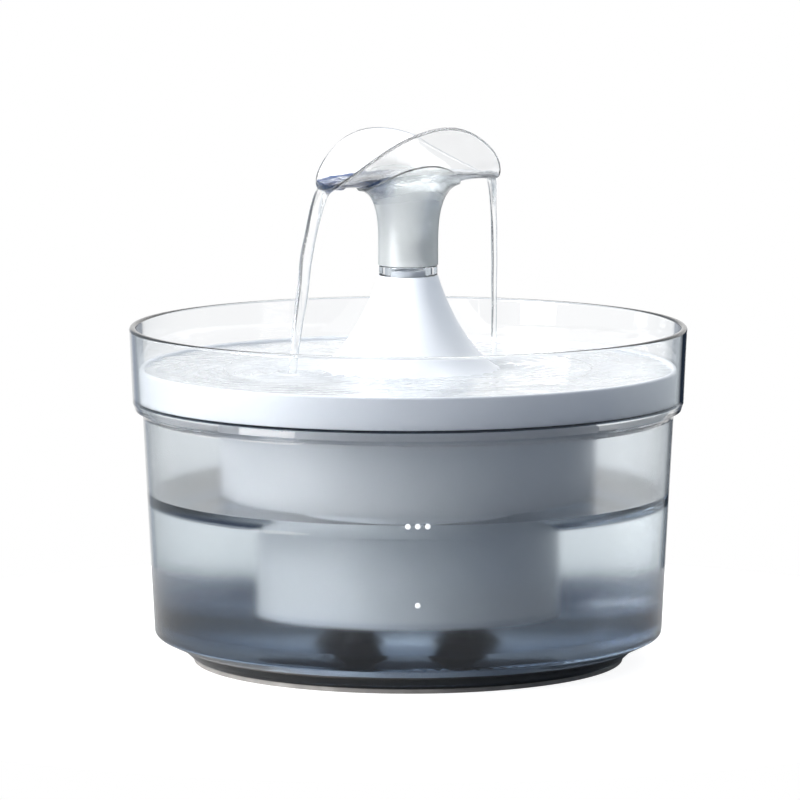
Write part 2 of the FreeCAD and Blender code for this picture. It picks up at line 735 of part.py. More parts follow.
def intake_cap():
    cap = Part.makeCylinder(VOLUTE_R, CAP_DEPTH)
    hollow = Part.makeCylinder(VOLUTE_R - CAP_WALL, CAP_DEPTH, Vector(0, 0, CAP_WALL))
    pin_hole = Part.makeCylinder(DIAL_PIN_R + RUN_GAP, CAP_WALL)
    cuts = [hollow, pin_hole]
    keep_r = DIAL_PIN_R + CAP_WALL
    reach = VOLUTE_R - 2 * CAP_WALL
    for i in range(CAP_SLOTS):
        x = (i - (CAP_SLOTS - 1) / 2) * CAP_SLOT_PITCH
        half = math.sqrt(reach ** 2 - x ** 2)
        bar = Part.makeBox(CAP_SLOT_W, 2 * half, CAP_WALL, Vector(x - CAP_SLOT_W / 2, -half, 0))
        cuts.append(bar.cut(Part.makeCylinder(keep_r, CAP_WALL)))
    return pump_part(cap.cut(cuts), CAP_Y)


def flow_dial():
    """Shutter disc with two windows, a pin through the cap and a knob with a grip bar outside it."""
    disc_y = FRONT_Y - SEAT_GAP - DIAL_T
    disc = Part.makeCylinder(DIAL_R, DIAL_T).cut(around(sector(WINDOW_IN_R, WINDOW_OUT_R, DIAL_T), 2))
    knob_y = CAP_Y - SEAT_GAP - DIAL_KNOB_T
    pin = Part.makeCylinder(DIAL_PIN_R, disc_y - knob_y)
    knob = Part.makeCylinder(DIAL_KNOB_R, DIAL_KNOB_T / 2, Vector(0, 0, DIAL_KNOB_T / 2))
    corner = Vector(-DIAL_KNOB_R, -DIAL_KNOB_T / 2, 0)
    grip = Part.makeBox(2 * DIAL_KNOB_R, DIAL_KNOB_T, DIAL_KNOB_T, corner)
    outside = pump_part(pin.fuse([knob, grip]), knob_y)
    return outside.fuse(pump_part(disc, disc_y)).removeSplitter()


def impeller():
    """Open impeller: curved blades on a disc, with a hub that carries the magnet."""
    front_y = FRONT_Y + BUSH_L + SEAT_GAP
    disc_y = CHAMBER_Y - DISC_T - SEAT_GAP
    magnet_y = BLOCK_Y + ROTOR_END_GAP
    hub = Part.makeCylinder(IMPELLER_HUB_R, magnet_y - front_y)
    disc = Part.makeCylinder(BLADE_R, DISC_T, Vector(0, 0, disc_y - front_y))
    bow_r = BLADE_R * 0.75
    bow = tube(bow_r + BLADE_T / 2, bow_r - BLADE_T / 2, 0, disc_y - front_y)
    bow.translate(Vector(BLADE_R / 2, -bow_r * 0.75, 0))
    reach = Part.makeCylinder(BLADE_R, disc_y - front_y, ORIGIN, UP, 100)
    reach.rotate(ORIGIN, UP, -20)
    blade = bow.common(reach)
    wheel = hub.fuse([disc] + around(blade, BLADE_COUNT))
    wheel = wheel.cut(Part.makeCylinder(SHAFT_R + RUN_GAP, magnet_y - front_y))
    return pump_part(wheel.removeSplitter(), front_y)


def rotor_magnet():
    return pump_part(tube(ROTOR_R, SHAFT_R + RUN_GAP, 0, ROTOR_L), BLOCK_Y + ROTOR_END_GAP)


def pump_shaft():
    end_y = BLOCK_Y + WELL_L + BUSH_L
    return pump_part(Part.makeCylinder(SHAFT_R, end_y - FRONT_Y), FRONT_Y)


def shaft_bushes():
    bush = tube(BUSH_R, SHAFT_R + RUN_GAP, 0, BUSH_L)
    return Part.makeCompound([pump_part(bush, FRONT_Y), pump_part(bush, BLOCK_Y + WELL_L)])


def prefilter_sponge():
    """Foam block between the pump's intake and the front of the house."""
    height = HOUSE_TOP_Z - HOUSE_WALL - SPONGE_GAP - BASE_TOP_Z
    back_y = CAP_Y - DIAL_KNOB_T - SPONGE_GAP
    drum = Part.makeCylinder(HOUSE_IN_R - LOOSE_GAP, height, Vector(0, 0, BASE_TOP_Z))
    slab = Part.makeBox(SPONGE_W, HOUSE_R, height, Vector(-SPONGE_W / 2, back_y - HOUSE_R, BASE_TOP_Z))
    return drum.common(slab)


PIECES = [
    reservoir,
    non_slip_ring,
    drinking_tray,
    filter_basket,
    cartridge_case,
    sponge_pad,
    carbon_bed,
    polish_pad,
    cartridge_lid,
    fountain_cone,
    neck_ring,
    neck_sleeve,
    spout_head,
    riser_tube,
    outlet_seal,
    pump_base,
    pump_cover,
    suction_cups,
    prefilter_sponge,
    pump_body,
    cable_gland,
    volute_cover,
    volute_seal,
    intake_cap,
    flow_dial,
    impeller,
    rotor_magnet,
    pump_shaft,
    shaft_bushes,
]


os.makedirs("parts", exist_ok=True)
for piece in PIECES:
    piece().exportStep(os.path.join("parts", piece.__name__ + ".step"))
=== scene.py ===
import math

import bmesh
import bpy
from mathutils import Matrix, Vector, noise


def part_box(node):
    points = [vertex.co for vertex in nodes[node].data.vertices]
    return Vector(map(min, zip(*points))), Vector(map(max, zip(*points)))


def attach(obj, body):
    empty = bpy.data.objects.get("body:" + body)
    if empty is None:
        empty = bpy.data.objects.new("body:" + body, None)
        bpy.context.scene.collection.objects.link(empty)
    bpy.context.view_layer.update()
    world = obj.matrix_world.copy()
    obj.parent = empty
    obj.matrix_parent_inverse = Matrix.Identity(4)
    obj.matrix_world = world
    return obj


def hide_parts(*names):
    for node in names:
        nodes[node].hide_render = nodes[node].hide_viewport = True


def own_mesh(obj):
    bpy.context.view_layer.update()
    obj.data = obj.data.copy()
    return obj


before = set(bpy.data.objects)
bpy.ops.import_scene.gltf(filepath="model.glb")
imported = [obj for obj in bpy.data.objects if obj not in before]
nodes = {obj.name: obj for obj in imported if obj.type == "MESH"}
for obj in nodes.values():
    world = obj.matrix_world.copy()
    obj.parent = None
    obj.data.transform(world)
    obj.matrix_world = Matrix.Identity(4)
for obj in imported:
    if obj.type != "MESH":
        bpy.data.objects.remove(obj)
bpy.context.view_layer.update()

# Pet water fountain, running, in metres. Z is up and the front faces -Y.
MM = 0.001

# Camera, fitted to the photograph.
CAMERA_PLACE = Vector((-3.394, -2500.0, 416.6)) * MM
CAMERA_PITCH = 0.123
CAMERA_LENS = 274.74
CAMERA_SENSOR = 36.0
CAMERA_REACH = 20

# Lamps, as a place, a width in metres and a power in watts, and the point that they face.
LAMPS = {
    "key": ((-1.15, -0.65, 0.42), 0.8, 32),
    "top": ((0.0, 0.5, 1.5), 1.2, 14),
}
LAMP_AIM = Vector((0, 0, 0.1))

# World, by the direction that is looked in. Each pair says where a part starts and where it is whole.
# The white window behind reaches further to the right above and below a dark strip.
WINDOW_LEFT_X = (-0.38, -0.16)
WINDOW_RIGHT_X = (0.195, 0.125)
WINDOW_FAR_RIGHT_X = (0.6, 0.5)
UNDER_STRIP_Z = (-0.20, -0.26)
OVER_STRIP_Z = (-0.04, 0.02)
BEHIND_Y = (0.0, 0.2)
BEHIND_Z = (-0.5, -0.3)
WINDOW_GLOW = (1.0, 1.0, 1.0)

# Around the window: pale panels beside it, a bright one at the left, a dark corner, and the ceiling.
RIGHT_PANEL_X = (0.36, 0.44)
LEFT_PANEL_X = (-0.36, -0.44)
PANEL_GLOW = (0.55, 0.60, 0.64)
BRIGHT_X = (-0.55, -0.85)
BRIGHT_Z = (-0.15, 0.1)
BRIGHT_GLOW = (1.6, 1.63, 1.68)
DARK_X = (0.0, 0.1)
DARK_Y = (0.1, 0.5)
DARK_GLOW = (0.02, 0.03, 0.05)
CEILING_Z = (0.55, 0.75)
CEILING_GLOW = (0.86, 0.86, 0.86)
ELSEWHERE_GLOW = (0.40, 0.45, 0.53)

# Floor: its colour, its glow to the camera, and its glows through clear pieces, under and round the object.
FLOOR_R = 0.28
FLOOR_SIDES = 96
FLOOR_COLOUR = (0.4, 0.4, 0.4)
FLOOR_GLOW = (0.9, 0.9, 0.9)
FLOOR_UNDER = (0.16, 0.19, 0.23)
FLOOR_ROUND = (0.03, 0.05, 0.09)
FLOOR_SHADE_R = (0.095, 0.125)

# Low curved card behind the bowl, seen only through clear pieces, with its bands as (height, colour).
CARD_R = 0.20
CARD_FOOT_Z = 0.5 * MM
CARD_TOP_Z = 0.082
CARD_SPAN = (math.radians(5), math.radians(175))
CARD_STEPS = 60
CARD_PALE = (0.70, 0.76, 0.80)
CARD_NAVY = (0.005, 0.02, 0.06)
CARD_BANDS = [
    (0.0010, CARD_PALE),
    (0.0050, CARD_PALE),
    (0.0065, CARD_NAVY),
    (0.0155, CARD_NAVY),
    (0.0180, (0.70, 0.75, 0.77)),
    (0.0450, (0.80, 0.83, 0.85)),
]

# Heights over which the bowl's finish changes: over its foot, up its lower wall and into its collar.
FOOT_Z = (6.5 * MM, 9 * MM)
WALL_DARKENING_Z = (14 * MM, 34 * MM)
COLLAR_Z = (100 * MM, 106 * MM)

# Heights in mm, from and to, of dark bands of painted shade on the bowl's ledge corner and foot, where its
# corners show as dark lines in the clear plastic.
PAINTED_DARK_BANDS = [(108.2, 109.0), (2.0, 3.4)]
PAINTED_BAND_FADE = 0.2

# Where the neck's frost clears towards its flare, and where the head's front wall gets its full body.
FLARE_R = (13.5 * MM, 18.0 * MM)
HEAD_FRONT_Y = (-8 * MM, 4 * MM)

# The middle of a noise, where most of its values lie.
NOISE_MIDDLE = (0.3, 0.7)

# Rays that look for a wall start above the whole object, or well out beside it.
ABOVE_Z = 0.3
OUTSIDE_R = 0.2

# Water levels, and the thin overlaps that join water to the plastic that holds it.
BOWL_WATER_Z = 70.2 * MM
TRAY_WATER_Z = 121.2 * MM
SINK = 0.3 * MM
SKIN = 0.15 * MM

# Bowl's water: the meniscus's height, reach and outer edge, and the swell, which dies out near the wall.
MENISCUS = 0.4 * MM
MENISCUS_REACH = 0.9 * MM
MENISCUS_EDGE = 0.1 * MM
SWELL = 0.12 * MM
SWELL_SCALE = 45
SWELL_EDGE = 10 * MM

# The two low lips, left and right, and how far round from the X axis they point.
LEFT, RIGHT = -1, 1
LIP_TURN = math.radians(22.5)

# Water in the head: its level over the neck, its depth over each lip, its mound and its ripples.
HEAD_WATER_Z = 202.5 * MM
LIP_DEPTHS = {LEFT: 2.4 * MM, RIGHT: 1.6 * MM}
LIP_FALL_POWER = 1.6
MOUND = 1.2 * MM
MOUND_R = 6 * MM
HEAD_RIPPLES = [(0.7 * MM, 260), (0.35 * MM, 620)]
# Painted deep-blue reflection in the head's water: where it starts and where it is whole, along X towards the
# left lip.
PAINTED_BLUE_X = (-3.0 * MM, -13.0 * MM)

# Foot of the head's water in the neck: its height, where it widens, how far out, and the least depth there.
HEAD_WATER_FOOT_Z = 174.5 * MM
HEAD_WATER_FLARE_Z = HEAD_WATER_FOOT_Z + 4 * MM
HEAD_WATER_FLARE = 0.6 * MM
HEAD_WATER_THIN = 0.01 * MM

# Search for the head's rim and for the water's edge in it: where each starts, and the step of both.
RIM_SEARCH_R = 30 * MM
EDGE_SEARCH_R = 13 * MM
SEARCH_STEP = 0.25 * MM

# Streams: rows along one, sides of its section, and how much and how quickly that drifts, swells and turns.
STREAM_ROWS = 110
STREAM_SIDES = 28
STREAM_DRIFT_SCALE = 60
STREAM_SWELL = 0.10
STREAM_SWELL_SCALE = 110
STREAM_TWIST = 0.08
STREAM_TWIST_STEP = 0.09

# Water in the tray: its ripples, where the streams land in it as (x, y, strength), and the rings they make.
TRAY_RIPPLES = [(0.35 * MM, 38), (0.20 * MM, 95)]
LANDINGS = [(-47.3 * MM, -19.6 * MM, 0.9 * MM), (35.3 * MM, 14.6 * MM, 0.5 * MM)]
RING_LENGTH = 7 * MM
RING_FADE = 26 * MM

# Radii at which the cone's flange, the tray's hub and its dish are measured, and where their waters meet.
FLANGE_R = 72 * MM
HUB_R = 76.4 * MM
DISH_R = 95 * MM
SEAM_R = 76.2 * MM

# Gap between a soft piece and the space of the CAD solid that it stands for.
FIT = 0.1 * MM

# Level marks printed on the bowl's front, as (x, z) in mm: three dots for full and one for low.
MARK_R = 1.15 * MM
MARK_T = 0.06 * MM
MARK_SIDES = 28
MARKS = [(-0.2, 70.3), (3.7, 70.3), (7.7, 70.3), (3.7, 38.4)]


class Nodes:
    """A node tree, with short ways to add nodes and join them."""

    def __init__(self, tree):
        self.tree = tree

    def node(self, kind, **settings):
        made = self.tree.nodes.new(kind)
        for key, value in settings.items():
            setattr(made, key, value)
        return made

    def link(self, source, target):
        self.tree.links.new(source, target)

    def axis(self, place, name):
        """One coordinate of a place: X, Y or Z."""
        split = self.node("ShaderNodeSeparateXYZ")
        self.link(place, split.inputs[0])
        return split.outputs[name]

    def spread(self, source, low, high, to_low=0.0, to_high=1.0):
        """Maps a value smoothly from one range to another."""
        made = self.node("ShaderNodeMapRange", interpolation_type="SMOOTHSTEP")
        for key, value in zip((1, 2, 3, 4), (low, high, to_low, to_high)):
            made.inputs[key].default_value = value
        self.link(source, made.inputs[0])
        return made.outputs[0]

    def join(self, operation, first, second):
        made = self.node("ShaderNodeMath", operation=operation)
        self.link(first, made.inputs[0])
        self.link(second, made.inputs[1])
        return made.outputs[0]

    def times(self, first, second):
        return self.join("MULTIPLY", first, second)

    def blend(self, share, first, second):
        """Colour between two colours; each may be a tuple or another node's output."""
        made = self.node("ShaderNodeMix", data_type="RGBA")
        self.link(share, made.inputs[0])
        for index, colour in ((6, first), (7, second)):
            if isinstance(colour, tuple):
                made.inputs[index].default_value = (*colour, 1.0)
            else:
                self.link(colour, made.inputs[index])
        return made.outputs[2]

    def choose(self, share, first, second):
        """Shader that is the first where the share is 0 and the second where it is 1."""
        made = self.node("ShaderNodeMixShader")
        for index, source in enumerate((share, first, second)):
            self.link(source, made.inputs[index])
        return made.outputs[0]


class Finish(Nodes):
    """A material with a Principled shader at its end and helpers for the nodes that feed it."""

    def __init__(self, name, **values):
        self.material = bpy.data.materials.new(name)
        self.material.use_nodes = True
        super().__init__(self.material.node_tree)
        self.shader = self.tree.nodes["Principled BSDF"]
        for key, value in values.items():
            self.socket(key).default_value = value
        self.place = self.node("ShaderNodeTexCoord").outputs["Object"]

    def socket(self, key):
        return self.shader.inputs[key.replace("_", " ")]

    def feed(self, source, key):
        self.link(source, self.socket(key))

    def noise(self, scale, detail=2.0, rough=0.5):
        made = self.node("ShaderNodeTexNoise")
        made.inputs["Scale"].default_value = scale
        made.inputs["Detail"].default_value = detail
        made.inputs["Roughness"].default_value = rough
        self.link(self.place, made.inputs["Vector"])
        return made.outputs[0]

    def cloud(self, scale, detail=2.0, low=0.0, high=1.0):
        """Noise that drifts between two values."""
        return self.spread(self.noise(scale, detail), *NOISE_MIDDLE, low, high)

    def cells(self, scale):
        made = self.node("ShaderNodeTexVoronoi")
        made.inputs["Scale"].default_value = scale
        self.link(self.place, made.inputs["Vector"])
        return made.outputs[0]

    def radius(self):
        """Distance from the Z axis."""
        flat = self.node("ShaderNodeVectorMath", operation="MULTIPLY")
        flat.inputs[1].default_value = (1, 1, 0)
        self.link(self.place, flat.inputs[0])
        size = self.node("ShaderNodeVectorMath", operation="LENGTH")
        self.link(flat.outputs[0], size.inputs[0])
        return size.outputs["Value"]

    def edge_on(self, low, high):
        """Share that rises where the surface turns edge on to the view; the finishes use it to paint shade on
        edges.
        """
        return self.spread(self.node("ShaderNodeLayerWeight").outputs["Facing"], low, high)

    def bump(self, source, depth):
        made = self.node("ShaderNodeBump")
        made.inputs["Distance"].default_value = depth
        self.link(source, made.inputs["Height"])
        self.feed(made.outputs[0], "Normal")


def paler(colour, gain):
    return tuple(min(1.0, part * gain) for part in colour)


def clear_finish(name, tint, edge, bend=1.5):
    """Glossy clear plastic with painted shade where it is seen edge on, in place of the dark surroundings
    that its edges bend into view.
    """
    made = Finish(name, Transmission_Weight=1.0, IOR=bend, Roughness=0.02)
    # Painted shade: the edge colour is blended in where the surface turns edge on.
    made.feed(made.blend(made.edge_on(0.74, 0.97), tint, edge), "Base_Color")
    return made


def bowl_finish():
    """The reservoir: glossy clear collar, satin wall that darkens towards its foot, dark bands of painted
    shade at its ledge and foot, and painted shade at its edges.
    """
    made = Finish("bowl_plastic", Transmission_Weight=1.0, IOR=1.5)
    height = made.axis(made.place, "Z")
    in_collar = made.spread(height, *COLLAR_Z)
    # The lower wall's tint gets darker towards its foot.
    low_wall_tint, wall, foot = (0.36, 0.44, 0.56), (0.95, 0.965, 0.975), (0.82, 0.87, 0.91)
    tint = made.blend(made.spread(height, *WALL_DARKENING_Z), low_wall_tint, wall)
    tint = made.blend(made.spread(height, *FOOT_Z), foot, tint)
    tint = made.blend(in_collar, tint, (0.97, 0.975, 0.98))
    # Painted shade: near-black bands at the ledge corner and the foot, standing in for the dark lines those
    # corners show.
    for low, high in PAINTED_DARK_BANDS:
        above = made.spread(height, (low - PAINTED_BAND_FADE) * MM, low * MM)
        below = made.spread(height, high * MM, (high + PAINTED_BAND_FADE) * MM, 1.0, 0.0)
        tint = made.blend(made.times(above, below), tint, (0.012, 0.018, 0.03))
    # Painted shade: the wall is tinted darker where it turns edge on, more so in the collar.
    edge = made.blend(in_collar, (0.62, 0.66, 0.70), (0.26, 0.29, 0.34))
    made.feed(made.blend(made.edge_on(0.765, 0.80), tint, edge), "Base_Color")
    made.feed(made.spread(height, *COLLAR_Z, 0.12, 0.0), "Roughness")
    made.bump(made.noise(14.0), 0.05 * MM)
    return made.material


def head_finish():
    """The head's thin clear wall; its front is a little see-through, so that its rim stays light."""
    # The second colour is the painted shade at the head's edges.
    made = clear_finish("head_plastic", (0.98, 0.985, 0.99), (0.80, 0.83, 0.87), bend=1.38)
    made.feed(made.spread(made.axis(made.place, "Y"), *HEAD_FRONT_Y, 0.82, 1.0), "Alpha")
    made.bump(made.noise(180.0), 0.02 * MM)
    return made.material


def ring_finish():
    # The second colour is the painted shade at the ring's edges.
    made = clear_finish("neck_ring_plastic", (0.96, 0.97, 0.98), (0.55, 0.60, 0.68))
    made.bump(made.noise(400.0), 0.02 * MM)
    return made.material


def frosted():
    """Frosted sleeve: scatters light round the neck and clears towards its flared edge."""
    made = Finish("frosted_plastic", IOR=1.45)
    face = made.blend(made.cloud(150.0, 3.0), (0.90, 0.92, 0.91), (0.93, 0.945, 0.94))
    # Painted shade: greyer where the sleeve turns edge on.
    made.feed(made.blend(made.edge_on(0.55, 0.95), face, (0.55, 0.60, 0.60)), "Base_Color")
    out = made.radius()
    made.feed(made.spread(out, *FLARE_R, 0.82, 1.0), "Transmission_Weight")
    made.feed(made.spread(out, *FLARE_R, 0.30, 0.06), "Roughness")
    made.bump(made.noise(3500.0, 3.0), 0.01 * MM)
    return made.material


def white_plastic(name="white_plastic", colour=(0.80, 0.83, 0.87), glow_share=0.08, glow_reach=1.5 * MM):
    """Moulded white plastic with a fine eroded grain, slight cloudiness and light that spreads inside it."""
    made = Finish(name, IOR=1.5, Subsurface_Weight=glow_share, Subsurface_Scale=glow_reach)
    made.socket("Subsurface_Radius").default_value = (1, 1, 1)
    made.feed(made.blend(made.cloud(25.0, 3.0), colour, paler(colour, 1.04)), "Base_Color")
    made.feed(made.cloud(500.0, low=0.28, high=0.36), "Roughness")
    made.bump(made.noise(2600.0, 3.0), 0.005 * MM)
    return made.material


def black_plastic():
    """Moulded black plastic with paler scuffs."""
    made = Finish("black_plastic", IOR=1.5)
    scuff = made.spread(made.noise(120.0, 5.0), 0.45, 0.75)
    made.feed(made.blend(scuff, (0.012, 0.013, 0.015), (0.035, 0.036, 0.04)), "Base_Color")
    made.feed(made.cloud(300.0, low=0.32, high=0.5), "Roughness")
    made.bump(made.noise(2200.0), 0.03 * MM)
    return made.material


def rubber(name, colour, worn):
    """Dull rubber with a dusty bloom."""
    made = Finish(name, IOR=1.42)
    dust = made.spread(made.noise(90.0, 4.0), 0.4, 0.8)
    made.feed(made.blend(dust, colour, worn), "Base_Color")
    made.feed(made.cloud(250.0, low=0.5, high=0.7), "Roughness")
    made.bump(made.noise(1500.0, 3.0), 0.05 * MM)
    return made.material


def foam(name, colour, pore_shade, scale):
    """Open-cell foam: pale struts, with painted shade in the pores between them."""
    made = Finish(name, Roughness=0.9, Subsurface_Weight=0.1, Subsurface_Scale=2 * MM)
    made.socket("Subsurface_Radius").default_value = (1, 1, 1)
    cell = made.cells(scale)
    # Painted shade: the pores at the cells' middles are darkened.
    made.feed(made.blend(made.spread(cell, 0.15, 0.55), pore_shade, colour), "Base_Color")
    made.bump(cell, 0.5 * MM)
    return made.material


def fleece():
    made = Finish("fleece", Roughness=0.95, Sheen_Weight=0.5, Sheen_Roughness=0.5)
    fibre = made.noise(700.0, 8.0, 0.7)
    made.feed(made.blend(fibre, (0.70, 0.72, 0.74), (0.92, 0.93, 0.94)), "Base_Color")
    made.bump(fibre, 0.4 * MM)
    return made.material


def carbon():
    made = Finish("carbon_granules")
    grain = made.cells(420.0)
    made.feed(made.blend(grain, (0.008, 0.008, 0.009), (0.05, 0.05, 0.055)), "Base_Color")
    made.feed(made.cloud(900.0, low=0.35, high=0.75), "Roughness")
    made.bump(grain, 0.3 * MM)
    return made.material


def ferrite():
    """Sintered magnet: dark grey with a fine rough grain."""
    made = Finish("ferrite", Metallic=0.3)
    made.feed(made.blend(made.cells(900.0), (0.03, 0.03, 0.033), (0.07, 0.07, 0.075)), "Base_Color")
    made.feed(made.cloud(600.0, 3.0, 0.4, 0.6), "Roughness")
    made.bump(made.noise(1800.0, 3.0), 0.04 * MM)
    return made.material


def ceramic():
    made = Finish("ceramic", IOR=1.7)
    made.feed(made.blend(made.noise(800.0, 3.0), (0.80, 0.79, 0.76), (0.90, 0.89, 0.87)), "Base_Color")
    made.feed(made.cloud(300.0, low=0.15, high=0.28), "Roughness")
    return made.material


def water_finish(name, tint, bump_scale, bump_depth, clear=1.0, bend=1.333, cover=1.0):
    """Water; with clear under 1 it is milky with small bubbles, in drifts."""
    made = Finish(name, Transmission_Weight=clear, IOR=bend, Roughness=0.0, Alpha=cover)
    made.feed(made.blend(made.cloud(30.0), tint, paler(tint, 1.02)), "Base_Color")
    if clear < 1.0:
        drift = made.spread(made.noise(70.0, 3.0), 0.35, 0.65, clear, min(1.0, clear * 1.3))
        made.feed(drift, "Transmission_Weight")
    made.bump(made.noise(bump_scale, 3.0), bump_depth)
    return made.material


def head_water_finish():
    """Clear rippled water with a painted deep-blue reflection towards the left lip, in drifts."""
    made = Finish("head_water", Transmission_Weight=1.0, IOR=1.333, Roughness=0.0)
    near_lip = made.spread(made.axis(made.place, "X"), *PAINTED_BLUE_X)
    drift = made.spread(made.noise(160.0, 3.0), 0.30, 0.55, 0.45, 1.0)
    # Painted reflection: deep blue towards the left lip.
    made.feed(made.blend(made.times(near_lip, drift), (0.96, 0.98, 1.0), (0.02, 0.09, 0.30)), "Base_Color")
    made.bump(made.noise(330.0, 4.0), 0.7 * MM)
    return made.material


def mark_paint():
    made = Finish("mark_paint", IOR=1.5, Roughness=0.4)
    speck = made.noise(1500.0)
    made.feed(made.blend(speck, (0.90, 0.91, 0.92), (0.97, 0.97, 0.97)), "Base_Color")
    made.bump(speck, 0.01 * MM)
    return made.material


def add_piece(name, mesh, body, material):
    """Adds a smooth piece that moves with a body."""
    mesh.materials.append(material)
    mesh.shade_smooth()
    piece = bpy.data.objects.new(name, mesh)
    bpy.context.scene.collection.objects.link(piece)
    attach(piece, body)
    return piece


def finish_mesh(name, work):
    """Mesh from a bmesh, with its faces turned outwards."""
    bmesh.ops.recalc_face_normals(work, faces=work.faces)
    mesh = bpy.data.meshes.new(name)
    work.to_mesh(mesh)
    work.free()
    return mesh


def mesh_of(name, points, faces, merge=0.0):
    """Mesh from points and faces; points nearer than a distance become one."""
    rough = bpy.data.meshes.new(name + "_rough")
    rough.from_pydata(points, [], faces)
    work = bmesh.new()
    work.from_mesh(rough)
    bpy.data.meshes.remove(rough)
    if merge > 0:
        bmesh.ops.remove_doubles(work, verts=work.verts, dist=merge)
        bmesh.ops.dissolve_degenerate(work, edges=work.edges, dist=merge)
    return finish_mesh(name, work)


def spun(name, section_at, steps, closed=False):
    """Mesh round Z from the (radius, height) section that a function gives for each angle."""
    turns = [2 * math.pi * i / steps for i in range(steps)]
    sections = [section_at(turn) for turn in turns]
    count = len(sections[0])
    points = [(r * math.cos(turn), r * math.sin(turn), z)
              for turn, section in zip(turns, sections) for r, z in section]
    faces = []
    for i in range(steps):
        here, beside = i * count, (i + 1) % steps * count
        for k in range(count if closed else count - 1):
            after = (k + 1) % count
            faces.append((here + k, beside + k, beside + after, here + after))
    return mesh_of(name, points, faces, merge=1e-7)


def cast(node, start, direction):
    """Where a ray first meets a CAD node, or None."""
    hit, place, _, _ = nodes[node].ray_cast(Vector(start), Vector(direction).normalized())
    return place if hit else None


def wall_r(node, z, start_r=0.0):
    """Radius at which a ray along +X from a start radius meets a node at a height."""
    return cast(node, (start_r, 0, z), (1, 0, 0)).x


def top_at(node, x, y):
    """Where a ray straight down first meets a CAD node, or None."""
    return cast(node, (x, y, ABOVE_Z), (0, 0, -1))


def front_at(node, x, z):
    """Where a ray straight back from the front first meets a CAD node."""
    return cast(node, (x, -OUTSIDE_R, z), (0, 1, 0))


def evenly(first, last, count):
    """Evenly spaced values from first to last, both included."""
    return [first + (last - first) * i / (count - 1) for i in range(count)]


def ripples(place, waves):
    """Height of a broken surface at a place, from waves given as (height, scale)."""
    return sum(height * noise.noise(place * scale) for height, scale in waves)


def bowl_water():
    """Water in the reservoir, with a small meniscus up the wall and a gently moving surface."""
    floor_z = cast("reservoir", (0, 0, BOWL_WATER_Z), (0, 0, -1)).z
    depth = BOWL_WATER_Z + MENISCUS - floor_z
    # The rows lie closest at the bottom, where the wall curves in.
    heights = [floor_z + depth * share ** 2.5 for share in evenly(0.1, 1.0, 24)]
    wall = [(wall_r("reservoir", z) + SKIN, z) for z in heights]
    foot_r, top_r = wall[0][0] - SKIN, wall[-1][0]

    def section(turn):
        surface = []
        for r in evenly(top_r - MENISCUS_EDGE, 0.0, 60):
            gap = top_r - r
            rise = MENISCUS * math.exp(-gap / MENISCUS_REACH)
            place = Vector((r * math.cos(turn), r * math.sin(turn), 0))
            swell = ripples(place, [(SWELL, SWELL_SCALE)]) * min(1.0, gap / SWELL_EDGE)
            surface.append((r, BOWL_WATER_Z + rise + swell))
        return [(0.0, floor_z - SKIN), (foot_r, floor_z - SKIN)] + wall + surface

    mesh = spun("bowl_water", section, steps=180)
    add_piece("bowl_water", mesh, "bowl", water_finish("bowl_water", (0.96, 0.98, 0.99), 25.0, 0.05 * MM))


def rim_at(turn):
    """Radius and height of the head's rim at an angle."""
    reach = RIM_SEARCH_R
    found = None
    while True:
        place = top_at("spout_head", reach * math.cos(turn), reach * math.sin(turn))
        if place is None:
            return found
        found = (reach, place.z)
        reach += SEARCH_STEP


def lip_shape(side):
    """Direction of a lip, its rim radius and its rim height."""
    along = Vector((math.cos(LIP_TURN), math.sin(LIP_TURN), 0)) * side
    rim_r, rim_z = rim_at(math.atan2(along.y, along.x))
    return along, rim_r, rim_z


def head_level(x, y):
    """Height of the water's surface in the head: highest over the neck, lower towards both lips."""
    along = x * math.cos(LIP_TURN) + y * math.sin(LIP_TURN)
    side = LEFT if along < 0 else RIGHT
    _, lip_r, lip_z = LIPS[side]
    fall = HEAD_WATER_Z - (lip_z + LIP_DEPTHS[side])
    share = min(1.0, abs(along) / lip_r)
    mound = MOUND * math.exp(-math.hypot(x, y) / MOUND_R)
    broken = ripples(Vector((x, y, 0)), HEAD_RIPPLES) * (0.4 + share)
    return HEAD_WATER_Z - fall * share ** LIP_FALL_POWER + mound + broken


def head_water():
    """Water that wells up through the neck, spreads in the flare and runs to both lips."""
    rings_out = 44
    bore_r = wall_r("spout_head", HEAD_WATER_FOOT_Z) + SKIN
    foot = [(bore_r, HEAD_WATER_FLARE_Z), (bore_r, HEAD_WATER_FOOT_Z), (0.0, HEAD_WATER_FOOT_Z)]

    def edge_at(across, rim_r):
        """Radius at which the head's wall first rises out of the water."""
        reach = EDGE_SEARCH_R
        while reach < rim_r:
            skin = top_at("spout_head", across.x * reach, across.y * reach)
            if skin is not None and skin.z > head_level(across.x * reach, across.y * reach):
                return reach
            reach += SEARCH_STEP
        return rim_r

    def section(turn):
        across = Vector((math.cos(turn), math.sin(turn), 0))
        edge_r = edge_at(across, rim_at(turn)[0])
        top = [(r, head_level(across.x * r, across.y * r)) for r in evenly(0.0, edge_r, rings_out)]
        under = []
        for r in evenly(edge_r, bore_r + HEAD_WATER_FLARE, rings_out):
            skin = top_at("spout_head", across.x * r, across.y * r)
            level = head_level(across.x * r, across.y * r)
            z = level if skin is None else min(skin.z - SKIN, level - HEAD_WATER_THIN)
            under.append((r, z))
        return top + under + foot

    mesh = spun("head_water", section, steps=144)
    add_piece("head_water", mesh, "head", head_water_finish())


